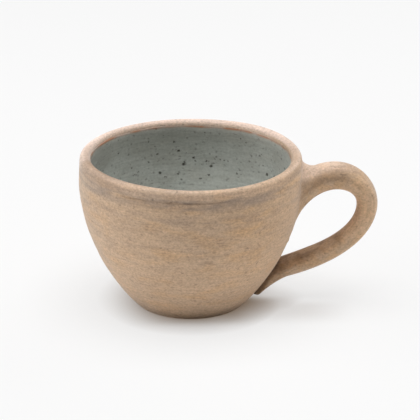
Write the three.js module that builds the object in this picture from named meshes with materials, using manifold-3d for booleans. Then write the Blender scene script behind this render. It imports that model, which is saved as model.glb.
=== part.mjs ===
// A wheel-thrown stoneware latte cup: a bare clay bowl, a coat of glaze inside it, and a pulled
// strap handle that is luted to the wall at an upper and a lower root.
// Millimetres, +Z up. The origin is the middle of the flat foot, and the handle points along +X.
import * as THREE from 'three';
import { mergeVertices } from 'three/addons/utils/BufferGeometryUtils.js';
import Module from 'manifold-3d';

// Bowl, thrown in one piece
const BOWL_HEIGHT = 75.5;
const BELLY_RADIUS = 54;
const BELLY_DROP = 13.5; // from the crest of the lip down to the widest ring
const RIM_RADIUS = 51; // at the crest of the lip
const LIP_THICKNESS = 5;
const LIP_LEAN = 7; // degrees inwards, where the wall runs into the lip
const FOOT_RADIUS = 26; // of the flat face that the cup stands on
const FOOT_EDGE_ROUND = 2.4;
const FLARE_ANGLE = 46.5; // degrees above the table, where the wall leaves the foot
const FLARE_RUN = 28; // how far the wall keeps to the flare
const BELLY_RUN = 15; // how far the wall stays upright below the belly
const WALL_THICKNESS = 5;
const FLOOR_THICKNESS = 7;
const HOLLOW_HEIGHT = 17; // above the table, where the inside of the wall begins to turn into the floor
const HOLLOW_TURN = 0.8; // share of the drop from there over which it still keeps the wall's slope
const HOLLOW_RADIUS = 19; // how far from the axis the floor stays nearly level

// Glaze
const GLAZE_THICKNESS = 0.5;

// Handle: its edges lie in the XZ plane, the outer one on the far side from the bowl and the inner one
// on the finger side. A run or a bend's top or bottom is how far an edge keeps its direction there.
const HANDLE_REACH = 37.1; // from the belly out to the far side of the bend
const HANDLE_WIDTH = 13;
const BEND_THICKNESS = 10;
const BEND_DROP = 25.7; // from the crest of the lip down to the far side of the bend
const BEND_SLANT = 0.9; // how much lower the finger side of the bend is
const UPPER_ROOT_DROP = 10.5; // from the crest of the lip down to the top of the root
const UPPER_ROOT_LENGTH = 22.6; // along the wall
const UPPER_ROOT_SPREAD = 7; // how much wider the handle is at its upper root
const TAIL_HEIGHT = 3.2; // from the table up to the tip of the tail
const TAIL_LENGTH = 15.8; // along the wall, in height
const TAIL_TIP_THICKNESS = 2; // how proud of the wall the tip is
const TAIL_SPREAD = 6; // how much wider the handle is at its tail
const OUTER_RISE = 34.7; // degrees, where the outer edge leaves the wall
const OUTER_RUN = 23.8;
const OUTER_BEND_TOP = 14.4;
const OUTER_BEND_BOTTOM = 26.9;
const OUTER_TAIL_RISE = 30; // degrees
const OUTER_TAIL_RUN = 23.1;
const INNER_RISE = 63.5; // degrees, where the inner edge leaves the wall
const INNER_RUN = 23.7;
const INNER_BEND_TOP = 10.6;
const INNER_BEND_BOTTOM = 19.8;
const INNER_TAIL_RISE = 42; // degrees
const INNER_TAIL_RUN = 4.1;
const SECTION_POWER = 2.3; // 2 is an ellipse, and more is squarer

// Luting: a collar of soft clay worked into the corner around each root
const LUTING_WIDTH = 2.4; // on the wall
const LUTING_RUN = 4.5; // along the handle
const LUTING_EDGE = 1; // thickness where it ends on the handle
const JOINT_GAP = 0.3; // slip between the pieces that are stuck together

// Fineness of the faces
const TURN_STEPS = 56;
const FOOT_EDGE_STEPS = 3;
const LOWER_WALL_STEPS = 12;
const UPPER_WALL_STEPS = 4;
const LIP_STEPS = 5; // on each side of its crest
const FLOOR_STEPS = 7;
const SECTION_STEPS = 20;
const UPPER_HANDLE_STEPS = 22;
const LOWER_HANDLE_STEPS = 24;
const LUTING_STEPS = 4;
const SHORTEST_EDGE = 1; // of the profile where the wall's points meet the hollow's

const CLAY = { color: 0xb79a7d, roughness: 0.86, metalness: 0 };
const HANDLE_CLAY = { color: 0xb3967a, roughness: 0.86, metalness: 0 };
const LUTING_CLAY = { color: 0xae9176, roughness: 0.9, metalness: 0 };
const GLAZE = { color: 0x868c86, roughness: 0.38, metalness: 0 };

const wasm = await Module();
wasm.setup();

const point = (x, y) => new THREE.Vector2(x, y);
const heading = (degrees) => point(1, 0).rotateAround(point(0, 0), THREE.MathUtils.degToRad(degrees));
const along = (start, direction, length) => start.clone().addScaledVector(direction, length);
const UP = point(0, 1);

// The points of an arc, from one angle to another in degrees.
function arcPoints(centre, radius, from, to, steps) {
  const points = [];
  for (let i = 0; i <= steps; i++) {
    const angle = THREE.MathUtils.lerp(from, to, i / steps);
    points.push(along(centre, heading(angle), radius));
  }
  return points;
}

// Each point moved to its left by a distance, square to the line through its neighbours.
function offsetLine(points, distance) {
  return points.map((p, i) => {
    const before = points[Math.max(i - 1, 0)];
    const after = points[Math.min(i + 1, points.length - 1)];
    const run = after.clone().sub(before).normalize();
    return along(p, point(-run.y, run.x), distance);
  });
}

// Radius of a profile line that climbs all the way, at a height.
function radiusAt(line, height) {
  const above = line.findIndex((p) => p.y >= height);
  const low = line[above - 1];
  const high = line[above];
  return THREE.MathUtils.mapLinear(height, low.y, high.y, low.x, high.x);
}

// A closed solid turned about the Z axis, from a profile of (radius, height) that starts and ends on it.
function turned(profile) {
  return new THREE.LatheGeometry(profile, TURN_STEPS).rotateX(Math.PI / 2);
}

// A closed solid through rings of points that all have the same count.
function lofted(rings) {
  const count = rings[0].length;
  const middle = (ring) => ring.reduce((sum, p) => sum.add(p), new THREE.Vector3()).divideScalar(count);
  const vertices = [...rings.flat(), middle(rings[0]), middle(rings.at(-1))];
  const startCap = rings.length * count;
  const lastRing = (rings.length - 1) * count;
  const faces = [];
  for (let j = 0; j < count; j++) {
    const next = (j + 1) % count;
    for (let i = 0; i < lastRing; i += count) {
      faces.push(i + j, i + count + j, i + next);
      faces.push(i + next, i + count + j, i + count + next);
    }
    faces.push(startCap, j, next);
    faces.push(startCap + 1, lastRing + next, lastRing + j);
  }
  const geometry = new THREE.BufferGeometry().setFromPoints(vertices);
  geometry.setIndex(faces);
  return geometry;
}

function toSolid(geometry) {
  const bare = geometry.clone();
  bare.deleteAttribute('normal');
  bare.deleteAttribute('uv');
  const merged = mergeVertices(bare);
  const mesh = new wasm.Mesh({
    numProp: 3,
    vertProperties: merged.getAttribute('position').array,
    triVerts: Uint32Array.from(merged.index.array),
  });
  return new wasm.Manifold(mesh);
}

function toGeometry(solid) {
  const mesh = solid.getMesh();
  const geometry = new THREE.BufferGeometry();
  geometry.setAttribute('position', new THREE.BufferAttribute(mesh.vertProperties, mesh.numProp));
  geometry.setIndex(new THREE.BufferAttribute(mesh.triVerts, 1));
  geometry.computeVertexNormals();
  return geometry;
}

// The bowl's outside, from the foot up to where the lip begins
const lipRadius = LIP_THICKNESS / 2;
const lipCentre = point(RIM_RADIUS, BOWL_HEIGHT - lipRadius);
const footEdge = arcPoints(
  point(FOOT_RADIUS, FOOT_EDGE_ROUND), FOOT_EDGE_ROUND, -90, FLARE_ANGLE - 90, FOOT_EDGE_STEPS,
);
const flareStart = footEdge.at(-1);
const belly = point(BELLY_RADIUS, BOWL_HEIGHT - BELLY_DROP);
const lip = [
  ...arcPoints(lipCentre, lipRadius, LIP_LEAN, 90, LIP_STEPS),
  ...arcPoints(lipCentre, lipRadius, 90, 180, LIP_STEPS).slice(1),
];
const lowerWall = new THREE.CubicBezierCurve(
  flareStart, along(flareStart, heading(FLARE_ANGLE), FLARE_RUN), along(belly, UP, -BELLY_RUN), belly,
).getPoints(LOWER_WALL_STEPS);
const upperRun = (lip[0].y - belly.y) / 3;
const upperWall = new THREE.CubicBezierCurve(
  belly, along(belly, UP, upperRun), along(lip[0], heading(90 + LIP_LEAN), -upperRun), lip[0],
).getPoints(UPPER_WALL_STEPS);
const outside = [...footEdge, ...lowerWall.slice(1), ...upperWall.slice(1)];

// The bowl's inside, from the lip down to the floor. The glaze covers exactly this.
const lipInside = lip.at(-1);
const insideBelly = point(BELLY_RADIUS - WALL_THICKNESS, belly.y);
const insideRun = (lipInside.y - insideBelly.y) / 3;
const insideUpper = new THREE.CubicBezierCurve(
  lipInside, along(lipInside, UP, -insideRun), along(insideBelly, UP, insideRun), insideBelly,
).getPoints(UPPER_WALL_STEPS);
const insideLine = offsetLine(lowerWall, WALL_THICKNESS);
const insideLower = insideLine.filter((p) => p.y > HOLLOW_HEIGHT + SHORTEST_EDGE).slice(0, -1).reverse();
const hollowStart = point(radiusAt(insideLine, HOLLOW_HEIGHT), HOLLOW_HEIGHT);
const intoFloor = hollowStart.clone().sub(insideLower.at(-1)).normalize();
const wholeDrop = (FLOOR_THICKNESS - HOLLOW_HEIGHT) / intoFloor.y;
const hollow = new THREE.CubicBezierCurve(
  hollowStart,
  along(hollowStart, intoFloor, HOLLOW_TURN * wholeDrop),
  point(HOLLOW_RADIUS, FLOOR_THICKNESS),
  point(0, FLOOR_THICKNESS),
).getPoints(FLOOR_STEPS);
const inside = [...insideUpper, ...insideLower, ...hollow];

const bowl = turned([point(0, 0), ...outside, ...lip.slice(1), ...inside.slice(1)]);

// The glaze lies on the inside's own points, and thins to nothing where the lip turns over
const glazeFace = offsetLine(inside, -GLAZE_THICKNESS).slice(1, -1);
const glazeMiddle = point(0, FLOOR_THICKNESS + GLAZE_THICKNESS);
const glazeLining = turned([...inside.toReversed(), ...glazeFace, glazeMiddle]);

// What the handle and the luting are cut by: the whole bowl, filled in and grown by the joint's gap
const grownOutside = offsetLine(outside, -JOINT_GAP);
const grownBowl = toSolid(turned([
  point(0, grownOutside[0].y), ...grownOutside, point(0, grownOutside.at(-1).y),
]));

// One edge of the handle: from the upper root out to the bend, and from the bend in to the tail
function handleEdge(root, rise, rootRun, bend, bendTop, bendBottom, tail, tailRise, tailRun) {
  const upper = new THREE.CubicBezierCurve(
    root, along(root, heading(rise), rootRun), along(bend, UP, bendTop), bend,
  );
  const lower = new THREE.CubicBezierCurve(
    bend, along(bend, UP, -bendBottom), along(tail, heading(tailRise), tailRun), tail,
  );
  return { upper, lower };
}

const rootTop = BOWL_HEIGHT - UPPER_ROOT_DROP;
const rootBottom = rootTop - UPPER_ROOT_LENGTH;
const tailTop = TAIL_HEIGHT + TAIL_LENGTH;
const bendOutside = point(BELLY_RADIUS + HANDLE_REACH, BOWL_HEIGHT - BEND_DROP);
const bendInside = point(bendOutside.x - BEND_THICKNESS, bendOutside.y - BEND_SLANT);
const outerEdge = handleEdge(
  point(radiusAt(outside, rootTop), rootTop), OUTER_RISE, OUTER_RUN,
  bendOutside, OUTER_BEND_TOP, OUTER_BEND_BOTTOM,
  point(radiusAt(outside, TAIL_HEIGHT) + TAIL_TIP_THICKNESS, TAIL_HEIGHT), OUTER_TAIL_RISE, OUTER_TAIL_RUN,
);
const innerEdge = handleEdge(
  point(radiusAt(outside, rootBottom), rootBottom), INNER_RISE, INNER_RUN,
  bendInside, INNER_BEND_TOP, INNER_BEND_BOTTOM,
  point(radiusAt(outside, tailTop), tailTop), INNER_TAIL_RISE, INNER_TAIL_RUN,
);

// A ring of the handle: half is upper or lower, t runs along that half, grown makes the ring thicker
// all round, and shift moves it.
function handleRing(half, t, grown, shift) {
  const outer = outerEdge[half].getPoint(t);
  const inner = innerEdge[half].getPoint(t);
  const spread = half === 'upper' ? UPPER_ROOT_SPREAD * (1 - t) ** 3 : TAIL_SPREAD * t ** 3;
  const halfWidth = (HANDLE_WIDTH + spread) / 2 + grown;
  const middle = outer.clone().add(inner).divideScalar(2).add(shift);
  const halfThick = outer.clone().sub(inner).divideScalar(2);
  halfThick.setLength(halfThick.length() + grown);
  const bulge = (x) => Math.sign(x) * Math.abs(x) ** (2 / SECTION_POWER);
  const ring = [];
  for (let j = 0; j < SECTION_STEPS; j++) {
    const angle = 2 * Math.PI * j / SECTION_STEPS;
    const p = along(middle, halfThick, bulge(Math.cos(angle)));
    ring.push(new THREE.Vector3(p.x, halfWidth * bulge(Math.sin(angle)), p.y));
  }
  return ring;
}

// Both ends run on into the wall, so that the cut takes their whole face
const NO_SHIFT = point(0, 0);
const intoWallAtRoot = point(-WALL_THICKNESS, 0);
const tailSlope = outerEdge.lower.v3.clone().sub(innerEdge.lower.v3).normalize();
const intoWallAtTail = point(tailSlope.y, -tailSlope.x).multiplyScalar(WALL_THICKNESS);

function handleRings(grown) {
  const rings = [handleRing('upper', 0, grown, intoWallAtRoot)];
  for (let i = 0; i < UPPER_HANDLE_STEPS; i++) {
    rings.push(handleRing('upper', i / UPPER_HANDLE_STEPS, grown, NO_SHIFT));
  }
  for (let i = 0; i <= LOWER_HANDLE_STEPS; i++) {
    rings.push(handleRing('lower', i / LOWER_HANDLE_STEPS, grown, NO_SHIFT));
  }
  rings.push(handleRing('lower', 1, grown, intoWallAtTail));
  return rings;
}

const handle = toSolid(lofted(handleRings(0))).subtract(grownBowl);
const grownHandle = toSolid(lofted(handleRings(JOINT_GAP)));

// A collar around one root, thick on the wall and thinner along the handle. A cubic curve leaves its
// end at three times its end handle, which tells how much of the handle's half the collar covers.
function luting(half, end, intoWall) {
  const first = (edge) => edge.v1.clone().sub(edge.v0);
  const last = (edge) => edge.v2.clone().sub(edge.v3);
  const endHandle = half === 'upper' ? first : last;
  const meanHandle = endHandle(outerEdge[half]).add(endHandle(innerEdge[half])).divideScalar(2);
  const share = LUTING_RUN / (3 * meanHandle.length());
  const rings = [handleRing(half, end, JOINT_GAP + LUTING_WIDTH, intoWall)];
  for (let i = 0; i <= LUTING_STEPS; i++) {
    const thickness = THREE.MathUtils.lerp(LUTING_WIDTH, LUTING_EDGE, Math.sqrt(i / LUTING_STEPS));
    const t = Math.abs(end - share * i / LUTING_STEPS);
    rings.push(handleRing(half, t, JOINT_GAP + thickness, NO_SHIFT));
  }
  if (half === 'lower') rings.reverse();
  return toSolid(lofted(rings)).subtract(grownHandle).subtract(grownBowl);
}

const upperLuting = luting('upper', 0, intoWallAtRoot);
const lowerLuting = luting('lower', 1, intoWallAtTail);

const cup = new THREE.Group();
function addPiece(name, geometry, finish) {
  const piece = new THREE.Mesh(geometry, new THREE.MeshStandardMaterial(finish));
  piece.name = name;
  cup.add(piece);
}
addPiece('bowl', bowl, CLAY);
addPiece('glaze_lining', glazeLining, GLAZE);
addPiece('handle', toGeometry(handle), HANDLE_CLAY);
addPiece('upper_luting', toGeometry(upperLuting), LUTING_CLAY);
addPiece('lower_luting', toGeometry(lowerLuting), LUTING_CLAY);

export default cup;
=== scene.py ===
import math

import bpy
import numpy as np
from mathutils import Matrix, Vector


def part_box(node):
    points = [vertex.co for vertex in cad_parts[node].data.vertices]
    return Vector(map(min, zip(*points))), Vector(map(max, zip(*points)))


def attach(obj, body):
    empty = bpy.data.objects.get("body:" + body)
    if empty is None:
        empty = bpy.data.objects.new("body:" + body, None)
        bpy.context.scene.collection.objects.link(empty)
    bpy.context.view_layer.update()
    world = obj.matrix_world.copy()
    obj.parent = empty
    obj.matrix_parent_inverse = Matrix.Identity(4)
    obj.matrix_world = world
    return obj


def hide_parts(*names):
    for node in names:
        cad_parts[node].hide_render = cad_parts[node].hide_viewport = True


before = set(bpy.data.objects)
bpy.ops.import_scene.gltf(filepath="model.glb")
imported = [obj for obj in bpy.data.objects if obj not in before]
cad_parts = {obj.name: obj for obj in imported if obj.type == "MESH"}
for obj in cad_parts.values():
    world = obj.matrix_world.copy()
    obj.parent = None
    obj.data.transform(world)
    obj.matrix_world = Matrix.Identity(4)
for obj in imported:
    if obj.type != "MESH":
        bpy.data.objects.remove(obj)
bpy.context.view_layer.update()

# Thrown bowl
# Buff stoneware, thrown on the wheel with base, wall and lip in one piece, cut off with a wire and
# pared with a rib. It is left bare, so its sand, the rib's lines and the kiln's blushes all show.
MM = 0.001
UP = np.array([0.0, 1.0])
bowl_low, bowl_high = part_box("bowl")
bowl_height = bowl_high.z / MM
belly_radius = -bowl_low.x / MM
belly_height = bowl_height - 13.5
rim_radius = 51.0
lip_half = 2.5
lip_lean = 7.0
foot_radius = 26.0
foot_round = 2.4
flare_angle = 46.5
flare_run = 28.0
belly_run = 15.0
wall_thickness = 5.0
floor_thickness = 7.0
hollow_height = 17.0
hollow_radius = 19.0
hollow_turn = 0.8


def heading(degrees):
    return np.array([math.cos(math.radians(degrees)), math.sin(math.radians(degrees))])


def bezier(start, first, second, end, count=300):
    t = np.linspace(0, 1, count)[:, None]
    s = 1 - t
    return s**3 * start + 3 * s**2 * t * first + 3 * s * t**2 * second + t**3 * end


def arc(centre, radius, start, end, count=60):
    return np.array([centre + radius * heading(a) for a in np.linspace(start, end, count)])


def joined(*lines):
    return np.concatenate([lines[0], *[line[1:] for line in lines[1:]]])


def run_along(line):
    """Distance from the start of a line to each of its points."""
    return np.append(0, np.cumsum(np.linalg.norm(np.diff(line, axis=0), axis=1)))


def evenly(line, step):
    """The same line with its points about a step apart."""
    run = run_along(line)
    places = np.linspace(0, run[-1], max(2, round(run[-1] / step) + 1))
    return np.stack([np.interp(places, run, line[:, k]) for k in range(line.shape[1])], axis=1)


def slope_of(line):
    slope = np.gradient(line, axis=0)
    return slope / np.linalg.norm(slope, axis=1)[:, None]


foot_edge = arc(np.array([foot_radius, foot_round]), foot_round, -90, flare_angle - 90)
belly = np.array([belly_radius, belly_height])
flare = foot_edge[-1] + flare_run * heading(flare_angle)
lower_wall = bezier(foot_edge[-1], flare, belly - belly_run * UP, belly)
lip_centre = np.array([rim_radius, bowl_height - lip_half])
lip = arc(lip_centre, lip_half, lip_lean, 180)
upper_run = (lip[0][1] - belly_height) / 3
upper_wall = bezier(belly, belly + upper_run * UP, lip[0] - upper_run * heading(90 + lip_lean), lip[0])
outside = joined(foot_edge, lower_wall, upper_wall)

inside_belly = np.array([belly_radius - wall_thickness, belly_height])
inside_run = (lip[-1][1] - belly_height) / 3
inside_upper = bezier(lip[-1], lip[-1] - inside_run * UP, inside_belly + inside_run * UP, inside_belly)
inward = slope_of(lower_wall)[:, ::-1] * [-1, 1]
inside_wall = (lower_wall + wall_thickness * inward)[::-1]
inside_wall = inside_wall[inside_wall[:, 1] > hollow_height]
into_floor = inside_wall[-1] - inside_wall[-2]
into_floor *= hollow_turn * (floor_thickness - hollow_height) / into_floor[1]
hollow = bezier(inside_wall[-1], inside_wall[-1] + into_floor,
                np.array([hollow_radius, floor_thickness]), np.array([0.0, floor_thickness]))
inside = joined(inside_upper, inside_wall, hollow)


def wall_radius(height):
    return np.interp(height, outside[:, 1], outside[:, 0])


# What hand and rib left: a wall slightly out of round, shallow lines that fade in and out around it,
# a crease below the front of the lip, a few short drags, a dimple, a crumb of clay and an uneven rim
hand = np.random.default_rng(7)
out_of_round = [dict(lobes=2, depth=0.20, turn=-1.2), dict(lobes=3, depth=0.08, turn=0.8)]
swell_depth = 0.06
swell_spacing = 2.9
swell_wander = 0.7
rib_count = 70
rib_lines = [
    dict(height=hand.uniform(5, 72), width=hand.uniform(0.3, 0.8), depth=hand.uniform(-0.07, 0.03),
         side=hand.uniform(0, 2 * math.pi), climb=hand.uniform(-0.5, 0.5))
    for _ in range(rib_count)
]
rib_overlap = 0.35
plain_foot = 0.6
marks_run = 4.0
crease_height = 69.9
crease_bearing = -100.0
crease_half_turn = 26.0
crease_width = 0.4
crease_depth = 0.35
drags = [
    dict(bearing=-76, height=51.0, length=5, depth=0.10),
    dict(bearing=-76, height=49.4, length=6, depth=0.12),
    dict(bearing=-75, height=47.8, length=5, depth=0.12),
    dict(bearing=-88, height=66.5, length=9, depth=0.08),
    dict(bearing=-104, height=44.0, length=7, depth=0.10)]
drag_width = 0.35
dimple = dict(bearing=-81.4, height=39.2, radius=1.3, depth=0.4)
crumb = dict(bearing=-19.0, height=36.5, radius=1.6, depth=-0.5)
uneven_bearing = 45.0
uneven_half_turn = 26.0
uneven_start = 58.0
uneven_out = 0.65
uneven_up = 0.45
wire_centre = (-60.0, 25.0)
wire_depth = 0.14
wire_spacing = 2.7
wire_wander = 4.0
wire_margin = 1.0
wire_fade = 3.0


def turn_from(angle, bearing):
    """Signed turn, in degrees, from a bearing around the bowl."""
    return (np.degrees(angle) - bearing + 180) % 360 - 180


def hand_marks(angle, height):
    """How far the clay stands off its true turned form, in millimetres."""
    marks = swell_depth * np.sin(height / swell_spacing + swell_wander * np.sin(angle))
    for wave in out_of_round:
        lobes = np.cos(wave["lobes"] * angle + wave["turn"])
        marks = marks + wave["depth"] * lobes * height / bowl_height
    for line in rib_lines:
        turn = np.cos(angle - line["side"])
        beside = (height - line["height"] - line["climb"] * turn) / line["width"]
        marks = marks + line["depth"] * np.clip(rib_overlap + turn, 0, 1) * np.exp(-beside**2)
    return marks * np.clip((height - plain_foot) / marks_run, 0, 1)


def pressed_in(angle, height):
    """Depth, in millimetres, of the crease, the drags, the dimple and the crumb in the outside."""
    along = turn_from(angle, crease_bearing) / crease_half_turn
    beside = (height - crease_height) / crease_width
    depth = crease_depth * np.exp(-along**4 - beside**2)
    for drag in drags:
        along = turn_from(angle, drag["bearing"]) / np.degrees(drag["length"] / 2 / belly_radius)
        beside = (height - drag["height"]) / drag_width
        depth = depth + drag["depth"] * np.exp(-along**4 - beside**2)
    for dent in (dimple, crumb):
        sideways = np.radians(turn_from(angle, dent["bearing"])) * wall_radius(dent["height"])
        away = sideways**2 + (height - dent["height"]) ** 2
        depth = depth + dent["depth"] * np.exp(-away / dent["radius"] ** 2)
    return depth


def uneven(rings):
    """The same rings with the rim a little up and out behind the handle."""
    x, y, height = np.moveaxis(rings, 2, 0)
    side = np.exp(-(turn_from(np.arctan2(y, x), uneven_bearing) / uneven_half_turn) ** 2)
    side = side * np.clip((height - uneven_start) / (bowl_height - uneven_start), 0, 1) ** 2
    wider = 1 + uneven_out * side / np.hypot(x, y)
    return np.stack([x * wider, y * wider, height + uneven_up * side], axis=2)


def wire_marks(x, y):
    """Height of the shallow arcs that the twisted wire left in the base."""
    reach = np.hypot(x - wire_centre[0], y - wire_centre[1])
    fade = np.clip((foot_radius - wire_margin - np.hypot(x, y)) / wire_fade, 0, 1)
    wave = np.sin(2 * math.pi * reach / wire_spacing + np.sin(reach / wire_wander))
    return wire_depth * fade * (1 + wave) / 2


def ring_mesh(rings, ends=None):
    """Vertices and faces between rings of points, capped at two end points or closed on themselves."""
    count, columns = rings.shape[:2]
    vertices = rings.reshape(-1, 3)
    faces = []
    for i in range(count - 1 if ends else count):
        a, b = i * columns, (i + 1) % count * columns
        faces += [(a + j, a + (j + 1) % columns, b + (j + 1) % columns, b + j) for j in range(columns)]
    if ends:
        last = (count - 1) * columns
        tip = len(vertices)
        faces += [(tip, (j + 1) % columns, j) for j in range(columns)]
        faces += [(tip + 1, last + j, last + (j + 1) % columns) for j in range(columns)]
        vertices = np.concatenate([vertices, np.array(ends, float)])
    return vertices, faces


def cup_piece(name, mesh_data, material, node):
    """A smooth piece of the cup, from millimetres, that stands for the solid of a node."""
    vertices, faces = mesh_data
    mesh = bpy.data.meshes.new(name)
    mesh.from_pydata((vertices * MM).tolist(), [], faces)
    mesh.polygons.foreach_set("use_smooth", [True] * len(mesh.polygons))
    mesh.materials.append(material)
    piece = bpy.data.objects.new(name, mesh)
    bpy.context.scene.collection.objects.link(piece)
    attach(piece, "root")
    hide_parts(node)
    return piece


def around(columns):
    """Angles all the way round, as one row."""
    return np.linspace(0, 2 * math.pi, columns, endpoint=False)[None, :]


def spun(radius, angle, height):
    """Rings about Z, one for each row of radii and heights."""
    return np.stack([radius * np.cos(angle), radius * np.sin(angle), height], axis=2)


def turned(line, angle, lift):
    """Rings of a line of (radius, height) turned about Z and lifted along its normal."""
    slope = slope_of(line)
    return spun(line[:, :1] + slope[:, 1:] * lift, angle, line[:, 1:] - slope[:, :1] * lift)


class Paint:
    """A socket of a material that takes part in sums; node() adds any other node."""

    def __init__(self, tree, socket=None):
        self.tree = tree
        self.socket = socket

    def node(self, kind, settings=None, sockets=None, output=0):
        made = self.tree.nodes.new(kind)
        for name, value in (settings or {}).items():
            setattr(made, name, value)
        for name, value in (sockets or {}).items():
            if isinstance(value, Paint):
                self.tree.links.new(value.socket, made.inputs[name])
            else:
                made.inputs[name].default_value = value
        return Paint(self.tree, made.outputs[output])

    def feed(self, shader, socket):
        self.tree.links.new(self.socket, shader.inputs[socket])

    def sum(self, operation, first, second):
        return self.node("ShaderNodeMath", {"operation": operation}, {0: first, 1: second})

    def __add__(self, other):
        return self.sum("ADD", self, other)

    def __sub__(self, other):
        return self.sum("SUBTRACT", self, other)

    def __rsub__(self, other):
        return self.sum("SUBTRACT", other, self)

    def __mul__(self, other):
        return self.sum("MULTIPLY", self, other)

    def __truediv__(self, other):
        return self.sum("DIVIDE", self, other)

    def __rtruediv__(self, other):
        return self.sum("DIVIDE", other, self)

    def __pow__(self, other):
        return self.sum("POWER", self, other)

    def __rpow__(self, other):
        return self.sum("POWER", other, self)

    def __or__(self, other):
        """The larger of two values."""
        return self.sum("MAXIMUM", self, other)

    __radd__ = __add__
    __rmul__ = __mul__
    __ror__ = __or__

    def step(self, low, high):
        """0 at low and 1 at high, smooth between; low may be the larger."""
        return self.node("ShaderNodeMapRange", {"interpolation_type": "SMOOTHSTEP"}, {
            "Value": self, "From Min": low, "From Max": high, "To Min": 0.0, "To Max": 1.0})

    def between(self, start, full, last, end):
        """1 from full to last, and falling smoothly to 0 at start and at end."""
        return self.step(start, full) * self.step(end, last)

    def mix(self, first, second, amount, blend="MIX"):
        """A colour with a second one laid over it by an amount."""
        return self.node("ShaderNodeMix", {"data_type": "RGBA", "blend_type": blend},
                         {0: amount, 6: first, 7: second}, output=2)

    def along(self, axis):
        """How far this place lies along X, Y or Z, in millimetres."""
        return self.node("ShaderNodeSeparateXYZ", None, {0: self}, output=axis) / MM

    def stretched(self, x, y, z):
        """This place counted in lengths of x, y and z millimetres."""
        return self.node("ShaderNodeVectorMath", {"operation": "MULTIPLY"},
                         {0: self, 1: (1 / (x * MM), 1 / (y * MM), 1 / (z * MM))})

    def noise(self, detail=2.0, roughness=0.5, warp=0.0, seed=0.0):
        """Cloudy values around 0.5 that change over one unit of this place."""
        return self.node("ShaderNodeTexNoise", {"noise_dimensions": "4D"}, {
            "Vector": self, "W": seed, "Scale": 1.0, "Detail": detail, "Roughness": roughness,
            "Distortion": warp})


def linear(red, green, blue):
    """A colour as a screen shows it, from 0 to 255, in the numbers that a shader takes."""
    shown = np.array([red, green, blue]) / 255
    return (*np.where(shown <= 0.04045, shown / 12.92, ((shown + 0.055) / 1.055) ** 2.4), 1.0)


def new_material(name):
    """A material, its shader and a Paint to start its nodes from."""
    material = bpy.data.materials.new(name)
    material.use_nodes = True
    return material, material.node_tree.nodes["Principled BSDF"], Paint(material.node_tree)


clay_buff = linear(190, 162, 134)
clay_orange = linear(194, 158, 120)
clay_grey = linear(152, 134, 118)
clay_pale = linear(210, 189, 177)
clay_umber = linear(128, 102, 78)
clay_dark = linear(88, 68, 50)
clay_brightness = 1.04
clay_roughness = 0.9
clay_relief = 0.3
sand_size = (1.2, 1.2, 0.9)
sand_contrast = 1.2
pit_size = (2.0, 2.0, 1.4)
pit_darkness = 0.3


def bare_clay(shader, paint, place, lines, tints, line_contrast):
    """Sandy bare clay under tints of (colour, amount), with drawn-out lines, sand and dark pits."""
    sand = place.stretched(*sand_size).noise(detail=3.0, roughness=0.65)
    pits = place.stretched(*pit_size).noise(detail=1.0, seed=3.0).step(0.40, 0.22)
    colour = clay_buff
    for tint, amount in tints:
        colour = paint.mix(colour, tint, amount)
    tone = clay_brightness + sand_contrast * (sand - 0.5) + line_contrast * (lines - 0.5)
    tone = tone - pit_darkness * pits
    paint.mix(colour, tone, 1.0, "MULTIPLY").feed(shader, "Base Color")
    (clay_roughness - 0.2 * (sand - 0.5)).feed(shader, "Roughness")
    relief = 0.6 * sand + 0.6 * lines - 0.4 * pits
    bump = paint.node("ShaderNodeBump", None, {
        "Strength": 0.5, "Distance": clay_relief * MM, "Height": relief})
    bump.feed(shader, "Normal")
    shader.inputs["Specular IOR Level"].default_value = 0.35
    shader.inputs["Sheen Weight"].default_value = 0.2
    shader.inputs["Sheen Roughness"].default_value = 0.5


bowl_clay, shader, paint = new_material("bare_clay_bowl")
place = paint.node("ShaderNodeTexCoord", output="Object")
across, depth, height = (place.along(axis) for axis in "XYZ")
lines = place.stretched(8, 8, 0.9).noise(detail=3.0, roughness=0.55, seed=8.0)
at_back = depth.step(-10, 30)
at_left = across.step(15, -35) * (1 - at_back)
at_right = across.step(36, 50)

# Orange where the flame flashed the wall, and grey where smoke lay on it; the grey under the lip, deepest
# at the front and left, and the grey on the far left are mostly painted shade
blush = place.stretched(18, 18, 7).noise(detail=3.0, warp=0.4).step(0.45, 0.68)
flashed = across.step(5, 40) * depth.step(20, -10)
cloud = place.stretched(13, 13, 2.6).noise(detail=2.0, seed=5.0).step(0.38, 0.62)
smoke_and_shade_under_lip = height.between(65.0, 68.0, 70.5, 72.0)
belt = height.between(57.0, 59.5, 61.5, 64.0)
front = depth.step(10, -45) * across.between(-40, -10, 30, 55)
left_front = across.step(-28, -42) * depth.step(5, -15)
clean = 0.14 * height.step(46.0, 34.0) * across.step(-45, -10) + 0.1 * flashed * height.step(44.0, 54.0)
# Painted shade: grey under the lip at the front and left, and on the far left of the wall
smoke_and_shade = cloud * (0.25 + 0.2 * belt + 0.25 * smoke_and_shade_under_lip - clean) + 0.4 * smoke_and_shade_under_lip * (front + left_front)
smoke_and_shade = smoke_and_shade + 0.16 * across.step(-32, -50)

# The lip: its crown paler, with a painted highlight at the back, and paler at the far left; painted shade
# on its left and right sides and at its left front; darker brown towards the inner edge of its crown
crown_start = bowl_height - 1.3
crown_full = bowl_height - 0.4
crown_outer = rim_radius + 1.3
crown_inner = rim_radius - 0.4
crown = height.step(crown_start, crown_full)
crown_edge = crown * (across * across + depth * depth).step(crown_outer**2, crown_inner**2)
lip_side = height.between(70.0, 72.0, crown_start, crown_full)
lip_corner = across.step(-28, -42) * depth.step(-7, -15)
pale_far_left = across.step(-40, -48) * (1 - lip_corner)
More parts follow.
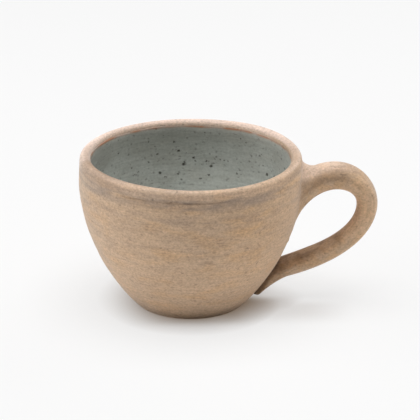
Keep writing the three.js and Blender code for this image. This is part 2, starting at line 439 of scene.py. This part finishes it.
# Painted shade in grey on the lip's left and right sides, a painted highlight at its back, and painted
# shade in umber on its right side and left front corner
lip_shade = lip_side * (0.35 * at_left + 0.15 * at_right) + crown * (0.35 * at_left + 0.4 * at_right)
lip_pale_and_highlight = (crown * (0.22 + 0.58 * at_back) + lip_side * (0.1 + 0.4 * at_back) * (1 - at_right)
            + 0.3 * pale_far_left * (crown + lip_side))
lip_umber_and_shade = (lip_side * (0.25 * at_right + 0.3 * lip_corner) + 0.35 * crown * lip_corner
             + 0.4 * crown_edge * (1 - at_back))

# Painted shade: darker clay at the foot just above the floor, round the handle's upper root and in the
# pressed marks
shaded_foot = height.step(7.0, 0.5)
shaded_root = across.step(49.0, 52.5) * depth.step(-24, -13) * height.between(36.0, 42.0, 65.0, 68.0)
pressed = paint.node("ShaderNodeAttribute", {"attribute_name": "pressed"}, output="Fac")
shade_in_marks = pressed.step(0.03, 0.12) * (0.08 + 0.24 * lines.step(0.62, 0.42))
bare_clay(shader, paint, place, lines, [
    (clay_orange, 0.6 * blush + 0.4 * flashed),
    (clay_grey, smoke_and_shade + lip_shade),
    (clay_pale, lip_pale_and_highlight),
    (clay_umber, 0.35 * shaded_foot + 0.5 * shaded_root + lip_umber_and_shade),
    (clay_dark, shade_in_marks)], line_contrast=0.5)

foot_step = 0.9
wall_step = 0.4
lip_step = 0.3
inside_step = 2.0
bowl_columns = 320
bowl_angle = around(bowl_columns)
foot_disc = evenly(np.array([[0.0, 0.0], [foot_radius, 0.0]]), foot_step)[1:]
outer_line = joined(foot_disc, evenly(outside, wall_step))
bowl_line = joined(outer_line, evenly(lip, lip_step), evenly(inside, inside_step))[:-1]
row_height = bowl_line[:, 1:]
on_outside = (np.arange(len(bowl_line)) < len(outer_line))[:, None]
bowl_pressed = pressed_in(bowl_angle, row_height) * on_outside
bowl_rings = uneven(turned(bowl_line, bowl_angle, hand_marks(bowl_angle, row_height) - bowl_pressed))
base = bowl_rings[:len(foot_disc)]
base[..., 2] += wire_marks(base[..., 0], base[..., 1])
bowl_ends = [(0, 0, float(wire_marks(0.0, 0.0))), (0, 0, floor_thickness)]
bowl = cup_piece("thrown_bowl", ring_mesh(bowl_rings, bowl_ends), bowl_clay, "bowl")
pressed_values = bowl.data.attributes.new("pressed", "FLOAT", "POINT")
pressed_values.data.foreach_set("value", np.append(bowl_pressed.ravel(), [0, 0]))

# Glaze lining
# A satin grey-green glaze poured into the bowl and fused to its clay, with iron specks that bled
# through. It was wiped back at the lip, where it thins to a brown, uneven edge.
glaze_thickness = 0.5
glaze_sunk = 0.3
glaze_feather = 2.6
edge_tuck = 0.04
ripple_run = 12.0
sag_depth = 0.03
middle_gap = 0.4
glaze_columns = 240
edge_rows = [0.0, 0.1, 0.25, 0.5, 0.8, 1.2, 1.7, 2.3]
lower_start = 3.0
lower_step = 0.7
poured_step = 0.1
inner_lip = lip[lip[:, 0] < rim_radius]
poured = evenly(joined(inner_lip, inside), poured_step)
poured_run = run_along(poured)
poured_slope = slope_of(poured)
edge_run = run_along(inner_lip)[-1]


def glaze_at(down, proud):
    """Radius and height a distance down the inside, from the lip's top, and proud of the clay."""
    pick = lambda values: np.interp(down, poured_run, values)
    return (pick(poured[:, 0]) + proud * pick(poured_slope[:, 1]),
            pick(poured[:, 1]) - proud * pick(poured_slope[:, 0]))


glaze_angle = around(glaze_columns)
ripple = sum(hand.uniform(0.03, 0.10) * np.sin(waves * glaze_angle + hand.uniform(0, 6))
             for waves in (2, 3, 5, 8, 13, 21))
lower_rows = np.arange(lower_start, poured_run[-1] - edge_run, lower_step)
below_edge = np.concatenate([edge_rows, lower_rows])[:, None]
settled = np.clip(below_edge / ripple_run, 0, 1)
down = np.minimum(edge_run + ripple * (1 - settled) + below_edge, poured_run[-1] - middle_gap)
coat = np.sqrt(np.clip(below_edge / glaze_feather, 0, 1)) * np.ones_like(down)
sag = np.sin(3 * glaze_angle + below_edge / 6) + np.sin(below_edge / 3 + 2 * np.sin(glaze_angle))
proud = (glaze_thickness + sag_depth * sag) * coat - edge_tuck * (below_edge == 0)
face_radius, face_height = glaze_at(down, proud)
back_radius, back_height = glaze_at(down[::-1], -glaze_sunk)
glaze_rings = uneven(spun(np.concatenate([back_radius, face_radius]), glaze_angle,
                          np.concatenate([back_height, face_height])))
glaze_ends = [(0, 0, floor_thickness - glaze_sunk), (0, 0, floor_thickness + glaze_thickness)]

glaze_grey = linear(172, 175, 169)
glaze_dull = linear(152, 149, 140)
glaze_iron = linear(46, 41, 34)
glaze_burnt = linear(148, 98, 60)
glaze_roughness = 0.36
glaze_relief = 0.2
glaze, shader, paint = new_material("satin_glaze")
place = paint.node("ShaderNodeTexCoord", output="Object")
across = place.along("X")
height = place.along("Z")
cloud = place.stretched(14, 14, 6).noise(detail=3.0)
mottle = place.stretched(1.3, 1.3, 1.0).noise(detail=3.0, roughness=0.6, seed=2.0)
lines = place.stretched(9, 9, 1.1).noise(detail=2.0, seed=8.0)
dashes = place.stretched(4, 4, 0.7).noise(detail=2.0, seed=11.0).step(0.62, 0.74)
ragged = place.stretched(0.8, 0.8, 0.8).noise(detail=2.0, seed=4.0)
crowded = place.stretched(11, 11, 11).noise(seed=7.0).step(0.35, 0.6)
burnt = place.stretched(9, 9, 9).noise(detail=2.0, seed=6.0).step(0.40, 0.60)
thick = paint.node("ShaderNodeAttribute", {"attribute_name": "coat"}, output="Fac")

# Specks that stand out, each with its bearing in degrees, its height and its radius
bold_specks = [
    (93, 52.7, 1.1), (76, 52.0, 0.9), (108, 49.0, 0.9), (36, 54.0, 1.0), (96, 59.6, 0.8), (87, 55.8, 0.75)]
soft_specks = [
    (110, 72.4, 0.6), (139, 72.3, 0.6), (80, 69.5, 0.5), (115, 66.0, 0.6), (91.5, 58.4, 0.5),
    (73, 57.0, 0.65), (127, 54.0, 0.5), (54, 67.0, 0.6), (57, 52.0, 0.6), (42, 63.0, 0.5),
    (40, 57.6, 0.5), (70.5, 55.8, 0.5), (68, 55.6, 0.5), (65.5, 55.7, 0.5), (77.5, 54.4, 0.55),
    (74.5, 53.6, 0.45), (79, 52.9, 0.5), (122.4, 51.3, 0.5), (125.2, 50.2, 0.5)]
bold_strength = 0.95
soft_strength = 0.6
speck_flatness = 0.75
speck_raggedness = 1.8
speck_edge = 1.4
speck_core = 0.4
cell_width = 1.3
flattened = place.stretched(1, 1, speck_flatness)


def spot(distance, radius):
    """A soft, ragged spot from the distance to its middle in millimetres."""
    return (distance + speck_raggedness * (ragged - 0.5)).step(speck_edge * radius, speck_core * radius)


def strewn(spacing, radius):
    """Spots of mixed size, one to each cell of a spacing where the wall cuts through it."""
    cells = paint.node("ShaderNodeTexVoronoi", None, {
        "Vector": place.stretched(cell_width * spacing, cell_width * spacing, spacing),
        "Scale": 1.0, "Randomness": 1.0})
    return spot(spacing * cells, radius)


def speck_at(bearing, height, radius):
    """A spot on the glaze's face."""
    reach = np.interp(height, inside[::-1, 1], inside[::-1, 0]) - glaze_thickness
    middle = [*(reach * heading(bearing)), height / speck_flatness]
    gap = paint.node("ShaderNodeVectorMath", {"operation": "DISTANCE"},
                     {0: flattened, 1: middle}, output="Value")
    return spot(gap, radius)


bled = 0.8 * crowded * strewn(3.6, 0.5) | 0.35 * strewn(2.9, 0.55)
for speck in soft_specks:
    bled = bled | soft_strength * speck_at(*speck)
for speck in bold_specks:
    bled = bled | bold_strength * speck_at(*speck)
# Painted light: the glaze lighter low on the far wall, where the light from above falls; painted shade
# darkening it on the far left
painted_light_pool = height.step(55.0, 48.0) * across.between(-14, 4, 20, 38)
shaded_far_left = across.step(-36, -46)
colour = paint.mix(glaze_grey, glaze_dull, 0.3 * cloud.step(0.40, 0.65) + 0.4 * height.step(58.0, 74.0))
tone = 1 + 0.7 * (mottle - 0.5) + 0.5 * (lines - 0.5) - 0.3 * dashes + 0.16 * painted_light_pool - 0.15 * shaded_far_left
colour = paint.mix(colour, tone, 1.0, "MULTIPLY")
colour = paint.mix(colour, glaze_iron, bled)
colour = paint.mix(colour, glaze_burnt, thick.step(0.8, 0.35) * (0.45 + 0.55 * burnt))
colour.feed(shader, "Base Color")
(glaze_roughness + 0.2 * (mottle - 0.5)).feed(shader, "Roughness")
relief = cloud + 0.3 * mottle + 0.4 * lines - 0.3 * bled
bump = paint.node("ShaderNodeBump", None, {
    "Strength": 0.3, "Distance": glaze_relief * MM, "Height": relief})
bump.feed(shader, "Normal")
lining = cup_piece("glaze_coat", ring_mesh(glaze_rings, glaze_ends), glaze, "glaze_lining")
coat_values = lining.data.attributes.new("coat", "FLOAT", "POINT")
coat_values.data.foreach_set("value", np.concatenate([np.ones(coat.size), coat.ravel(), [1, 1]]))

# Pulled handle
# A strap of the same clay, pulled by hand to a flattened oval, bent over and pressed to the wall at
# both ends. It is bare like the wall, with faint lines along its length where the hand drew it out.
bend_reach = belly_radius + 37.2
bend_drop = 26.2
bend_thickness = 10.1
bend_slant = 0.9
root_top = bowl_height - 10.5
root_bottom = root_top - 23.6
tail_height = 3.2
tail_top = tail_height + 15.8
tail_thickness = 3.0
tail_round = 1.8
neck = np.array([47.3, 12.15])
neck_rise = 15.0
outer_rise = 34.1
outer_run = 24.8
outer_bend_top = 14.2
outer_bend_bottom = 10.0
before_neck = 37.0
after_neck = 2.5
outer_tail_run = 8.5
inner_rise = 67.0
inner_run = 23.3
inner_bend_top = 12.4
inner_bend_bottom = 9.6
inner_tail_rise = 16.8
inner_tail_run = 30.0
strap_width = 13.0
root_spread = 7.0
tail_spread = 6.0
section_power = 2.3
width_waves = [dict(size=0.25, waves=9, turn=0), dict(size=0.15, waves=23, turn=1)]
drawn_waves = [dict(size=0.012, around=5, along=7), dict(size=0.008, around=9, along=-11)]
tip_sinks = (0.3, 1.5)
tip_narrowing = 0.5
bend_outside = np.array([bend_reach, bowl_height - bend_drop])
bend_inside = bend_outside - [bend_thickness, bend_slant]
wall_along = heading(flare_angle)
wall_out = heading(flare_angle - 90)


def on_wall(height):
    return np.array([wall_radius(height), height])


def leaving(start, rise, run, end, end_rise, end_run, count):
    """A curve that leaves its start at a rise and meets its end along another, with a run at each."""
    return bezier(start, start + run * heading(rise), end + end_run * heading(end_rise), end, count)


to_bend = 300
to_neck = 225
to_tip = 75
tail_tip = on_wall(tail_height) + tail_round * wall_along
tail_outside = tail_tip + tail_thickness * wall_out
outer_edge = joined(
    leaving(on_wall(root_top), outer_rise, outer_run, bend_outside, 90, outer_bend_top, to_bend),
    leaving(bend_outside, -90, outer_bend_bottom, neck, neck_rise, before_neck, to_neck),
    leaving(neck, 180 + neck_rise, after_neck, tail_outside, flare_angle, outer_tail_run, to_tip))
inner_edge = joined(
    leaving(on_wall(root_bottom), inner_rise, inner_run, bend_inside, 90, inner_bend_top, to_bend),
    leaving(bend_inside, -90, inner_bend_bottom, on_wall(tail_top), inner_tail_rise, inner_tail_run,
            to_neck + to_tip - 1))


def along_edge(edge, stations):
    """Points at even shares of an edge's own points."""
    index = np.linspace(0, 1, stations) * (len(edge) - 1)
    return np.stack([np.interp(index, np.arange(len(edge)), edge[:, k]) for k in (0, 1)], axis=1)


def strap_rings(columns, stations=180, buried=6, rounded=9):
    """Rings of the strap, from inside the wall at the upper root to the rounded tip of the tail."""
    outer = along_edge(outer_edge, stations)
    inner = along_edge(inner_edge, stations)
    share = np.linspace(0, 1, stations)
    half = 2 * share - 1
    width = strap_width + root_spread * np.clip(-half, 0, 1) ** 3 + tail_spread * np.clip(half, 0, 1) ** 3
    width += sum(wave["size"] * np.sin(wave["waves"] * share + wave["turn"]) for wave in width_waves)

    sunk = np.linspace(wall_thickness / 2, 0, buried, endpoint=False)[:, None]
    outer_root, inner_root = (edge[0] - sunk * np.array([1.0, 0.0]) for edge in (outer, inner))
    turn = np.radians(np.linspace(0, 90, rounded + 1)[1:])[:, None]
    outer_tip = tail_tip + tail_thickness * np.cos(turn) * wall_out - tail_round * np.sin(turn) * wall_along
    inner_tip = inner[-1] - np.linspace(*tip_sinks, rounded)[:, None] * wall_out
    tip_width = width[-1] * np.sqrt(1 - (tip_narrowing * np.sin(turn[:, 0])) ** 2)
    outer = np.concatenate([outer_root, outer, outer_tip])
    inner = np.concatenate([inner_root, inner, inner_tip])
    width = np.concatenate([np.full(buried, width[0]), width, tip_width])

    angle = around(columns)
    along = np.linspace(0, 1, len(outer))[:, None]
    drawn = 1 + sum(wave["size"] * np.sin(wave["around"] * angle + wave["along"] * along)
                    for wave in drawn_waves)
    bulge = lambda x: np.sign(x) * np.abs(x) ** (2 / section_power) * drawn
    middle = (outer + inner) / 2
    thick = (outer - inner) / 2
    x = middle[:, :1] + thick[:, :1] * bulge(np.cos(angle))
    y = -width[:, None] / 2 * bulge(np.sin(angle))
    z = middle[:, 1:] + thick[:, 1:] * bulge(np.cos(angle))
    return np.stack([x, y, z], axis=2)


strap_columns = 72
strap = strap_rings(strap_columns)
strap_ends = [strap[0].mean(axis=0), strap[-1].mean(axis=0)]
strap_run = run_along(strap.mean(axis=1))
strap_around = np.abs(np.linspace(-1, 1, strap_columns, endpoint=False)) * strap_width

# Painted light: a lighter clay colour for the side of the bend, which the lamps reach past the bowl
clay_painted_light = linear(208, 174, 140)
handle_clay, shader, paint = new_material("bare_clay_handle")
place = paint.node("ShaderNodeTexCoord", output="Object")
pulled = paint.node("ShaderNodeAttribute", {"attribute_name": "pulled"}, output="Vector")
along, from_inner, off_wall = (pulled.along(axis) for axis in "XYZ")
lines = pulled.stretched(9, 1.3, 1000).noise(detail=3.0, roughness=0.6, seed=8.0)
blush = place.stretched(5, 5, 5).noise(detail=3.0, warp=0.4).step(0.42, 0.62)
smoke_and_shade = place.stretched(6, 6, 6).noise(detail=3.0, seed=5.0).step(0.42, 0.66)
inner_face = from_inner.step(6.5, 2.5)
# Painted shade on the inner face of the lower strap
shaded_lower_face = inner_face * along.step(58.0, 76.0)
# Pale smoothed slip on the top of the root, partly a painted highlight from the light above
saddle_slip_and_highlight = along.step(34.0, 14.0) * from_inner.step(8.5, 11.0)
# Painted shade on the strap's side just under its crest, near the root
shade_under_crest = along.step(32.0, 22.0) * from_inner.between(6.0, 7.6, 9.2, 11.0)
crest = along.between(14.0, 24.0, 50.0, 64.0) * from_inner.step(9.5, 11.5)
bend = along.between(26.0, 38.0, 60.0, 74.0)
# Painted light on the near side of the bend
lit_bend_side = bend * from_inner.step(12.0, 9.0)
tail = along.step(60.0, 110.0)
# Painted shade, with some darker slip: the tail darkest in its corner against the wall and low down near
# the floor
tip = place.along("Z").step(10, 4)
corner = tail * (0.6 * off_wall.step(3.6, 1.0) + 0.1 * off_wall.step(9.0, 2.0) + 0.2 * tip)
# Painted shade, with some smoke: the strap darker on its inner face, which faces the bowl, and least at the
# bend
handle_smoke_and_shade = smoke_and_shade * (0.1 + 0.4 * inner_face) * (1 - 0.7 * bend)
bare_clay(shader, paint, place, lines, [
    (clay_orange, 0.6 * blush),
    (clay_umber, handle_smoke_and_shade + 0.45 * shade_under_crest + 0.32 * crest + 0.25 * shaded_lower_face),
    (clay_pale, 0.4 * saddle_slip_and_highlight),
    (clay_painted_light, 0.5 * lit_bend_side),
    (clay_dark, corner)], line_contrast=0.8)


def pulled_piece(name, mesh_data, node, along, across):
    """A piece of the handle's clay that keeps how far each point lies along, across and off the wall."""
    piece = cup_piece(name, mesh_data, handle_clay, node)
    x, y, z = mesh_data[0].T
    places = np.zeros((len(x), 3))
    known = np.stack(np.broadcast_arrays(along, across), axis=-1).reshape(-1, 2)
    places[:len(known), :2] = known * MM
    places[:, 2] = (np.hypot(x, y) - wall_radius(z)) * MM
    values = piece.data.attributes.new("pulled", "FLOAT_VECTOR", "POINT")
    values.data.foreach_set("vector", places.ravel())


pulled_piece("pulled_handle", ring_mesh(strap, strap_ends), "handle",
             strap_run[:, None], strap_around[None, :])

# Luting at the roots
# A roll of soft clay worked with a finger into the corner between strap and wall, all round each root.
# It is fullest on top of the upper root, where the thumb smoothed it up to the lip.
slope_reach = 0.5
foot_sunk = 0.06
corner_sunk = 1.0
corner_back = 0.6


def luting(lines, reach, count=12):
    """A hollow fillet round one root, from lines that leave the wall along the strap.

    For each line, reach holds how far the fillet runs up the strap and out on the wall, and how full it is.
    """
    middle = lines[:, 0].mean(axis=0)
    sections = []
    for line, (up_strap, on_clay, fullness) in zip(lines, reach):
        run = run_along(line)
        clear = np.hypot(line[:, 0], line[:, 1]) - wall_radius(line[:, 2])
        first = max(1, np.argmax(clear > 0))
        meets = np.interp(0, clear[first - 1:first + 1], run[first - 1:first + 1])
        corner = np.array([np.interp(meets, run, line[:, k]) for k in range(3)])
        top = np.array([np.interp(meets + up_strap, run, line[:, k]) for k in range(3)])
        widening = wall_radius(corner[2] + slope_reach) - wall_radius(corner[2] - slope_reach)
        normal = np.append(corner[:2] / np.hypot(*corner[:2]), -widening / (2 * slope_reach))
        normal /= np.linalg.norm(normal)
        away = corner - middle
        away -= (away @ normal) * normal
        away /= np.linalg.norm(away)
        foot = corner + on_clay * away
        wall = wall_radius(foot[2]) + hand_marks(np.arctan2(foot[1], foot[0]), foot[2])
        foot[:2] *= (wall - foot_sunk) / np.hypot(*foot[:2])
        pull = 1 - fullness
        curve = bezier(top, top + pull * (corner - top), foot + pull * (corner - foot), foot, count)
        sections.append(np.concatenate([curve, [corner - corner_sunk * normal - corner_back * away]]))
    return np.array(sections)


def luting_piece(name, rings, reach, node, run):
    sections = luting(rings.transpose(1, 0, 2), reach)
    across = np.tile(strap_around[:, None], sections.shape[1])
    pulled_piece(name, ring_mesh(sections), node, run, across)


facing_up = np.cos(around(strap_columns)[0])
over = np.clip(facing_up, 0, 1) ** 0.8
beneath = np.clip(-facing_up, 0, 1)
root_up_strap = 5.5 + 3.5 * over - 0.5 * beneath
root_on_clay = 4.0 + 3.6 * over - 0.2 * beneath
root_fullness = 0.4 + 0.2 * over
root_reach = np.stack([root_up_strap, root_on_clay, root_fullness], axis=1)
tail_reach = np.tile([1.6, 1.2, 0.4], (strap_columns, 1))
luted_rings = 60
luted_ring = 8
luting_piece("root_luting", strap[:luted_rings], root_reach, "upper_luting", strap_run[luted_ring])
luting_piece("tail_luting", strap[::-1][:luted_rings], tail_reach, "lower_luting", strap_run[-luted_ring])

# Floor and light
# A plain white floor and a soft studio: one wide light above, a weaker one on each side, the left the
# brighter, and one behind on the right. The floor looks as white as paper, and the cup's shadow on it is
# partly cast by the lights and partly painted shade.
floor_half = 3.0
floor_mesh = bpy.data.meshes.new("floor")
floor_corners = [(x * floor_half, y * floor_half, 0) for x, y in ((-1, -1), (1, -1), (1, 1), (-1, 1))]
floor_mesh.from_pydata(floor_corners, [], [(0, 1, 2, 3)])
floor = bpy.data.objects.new("floor", floor_mesh)
bpy.context.scene.collection.objects.link(floor)


def seen(paint):
    """1 where the camera looks straight, in a mirror or through glass, and 0 for the light in between."""
    straight, mirrored, through = (paint.node("ShaderNodeLightPath", output=f"Is {kind} Ray")
                                   for kind in ("Camera", "Glossy", "Transmission"))
    return straight | mirrored | through


floor_bounce = (0.92, 0.92, 0.92, 1)
floor_lit = (0.72, 0.72, 0.72, 1)
floor_white = (0.955, 0.955, 0.955, 1)
floor_shade = (0.153, 0.08, 0.021, 1)
white_share = 0.74
shade_reach = 14.5
shade_depth = 0.9
thrown_depth = 0.2
floor_paint, shader, paint = new_material("white_floor")
floor_mesh.materials.append(floor_paint)
open_sky = paint.node("ShaderNodeAmbientOcclusion", {"samples": 16}, {"Distance": shade_reach * MM},
                      output="AO")
place = paint.node("ShaderNodeTexCoord", output="Object")
across = place.along("X")
depth = place.along("Y")

# Painted shade on the floor: deepest beside the tail, faint on the left, and laid forward of the tail as if
# thrown by the light behind
behind = depth.step(-8, 2)
in_front = depth.step(-28, -37) * across.between(-32, -8, 20, 32)
by_tail = across.between(10, 24, 36, 48) * depth.step(-36, -22) * (1 - behind)
painted_thrown_shade = across.between(24, 42, 54, 82) * depth.between(-36, -18, -13, -3)
lighter = 0.6 * across.step(-10, -45) + 0.55 * behind * across.step(18, 32) + 0.4 * in_front
open_floor = open_sky ** (shade_depth - lighter + 0.4 * by_tail) * (1 - thrown_depth * painted_thrown_shade)
near = paint.mix(floor_shade, floor_white, open_floor)
bounce = paint.node("ShaderNodeBsdfDiffuse", None, {"Color": floor_bounce})
lit = paint.node("ShaderNodeBsdfDiffuse", None, {"Color": floor_lit})
white = paint.node("ShaderNodeEmission", None, {"Color": near, "Strength": 1.0})
shown = paint.node("ShaderNodeMixShader", None, {0: white_share, 1: lit, 2: white})
floor_look = paint.node("ShaderNodeMixShader", None, {0: seen(paint), 1: bounce, 2: shown})
floor_look.feed(floor_paint.node_tree.nodes["Material Output"], "Surface")

world = bpy.data.worlds.new("studio")
bpy.context.scene.world = world
world.use_nodes = True
backdrop = world.node_tree.nodes["Background"]
backdrop.inputs["Color"].default_value = floor_white
seen(Paint(world.node_tree)).feed(backdrop, "Strength")

softbox_size = 1.2
cup_middle = Vector((0, 0, 0.04))


def softbox(name, place, power):
    """A square light that faces the middle of the cup, from a place in metres."""
    light = bpy.data.lights.new(name, "AREA")
    light.shape = "SQUARE"
    light.size = softbox_size
    light.energy = power
    lamp = bpy.data.objects.new(name, light)
    lamp.location = place
    lamp.rotation_euler = (cup_middle - Vector(place)).to_track_quat("-Z", "Y").to_euler()
    bpy.context.scene.collection.objects.link(lamp)


softbox("light_above", (0.0, 0.0, 1.5), 26.7)
softbox("light_left", (-1.3, 0.0, 0.65), 12.5)
softbox("light_right", (1.3, 0.0, 0.65), 4.2)
softbox("light_right_back", (0.95, 0.95, 0.65), 6.5)

# Camera
# A long lens a little above the rim, turned so that the handle stands to the right.
camera_distance = 0.943
camera_azimuth = math.radians(-2.0)
camera_elevation = math.radians(21.35)
camera_roll = math.radians(0.55)
aim_from_foot = Vector((0.00947, 0.00374, 0.04475))
aim = Matrix.Rotation(camera_azimuth, 3, "Z") @ aim_from_foot
back = Vector((math.sin(camera_azimuth) * math.cos(camera_elevation),
               -math.cos(camera_azimuth) * math.cos(camera_elevation), math.sin(camera_elevation)))
lens = bpy.data.cameras.new("camera")
lens.sensor_width = 36.0
lens.lens = 165.2
camera = bpy.data.objects.new("camera", lens)
bpy.context.scene.collection.objects.link(camera)
turn = (-back).to_track_quat("-Z", "Y").to_matrix() @ Matrix.Rotation(camera_roll, 3, "Z")
camera.matrix_world = Matrix.Translation(aim + camera_distance * back) @ turn.to_4x4()
bpy.context.scene.camera = camera
bpy.context.scene.view_settings.view_transform = "Standard"
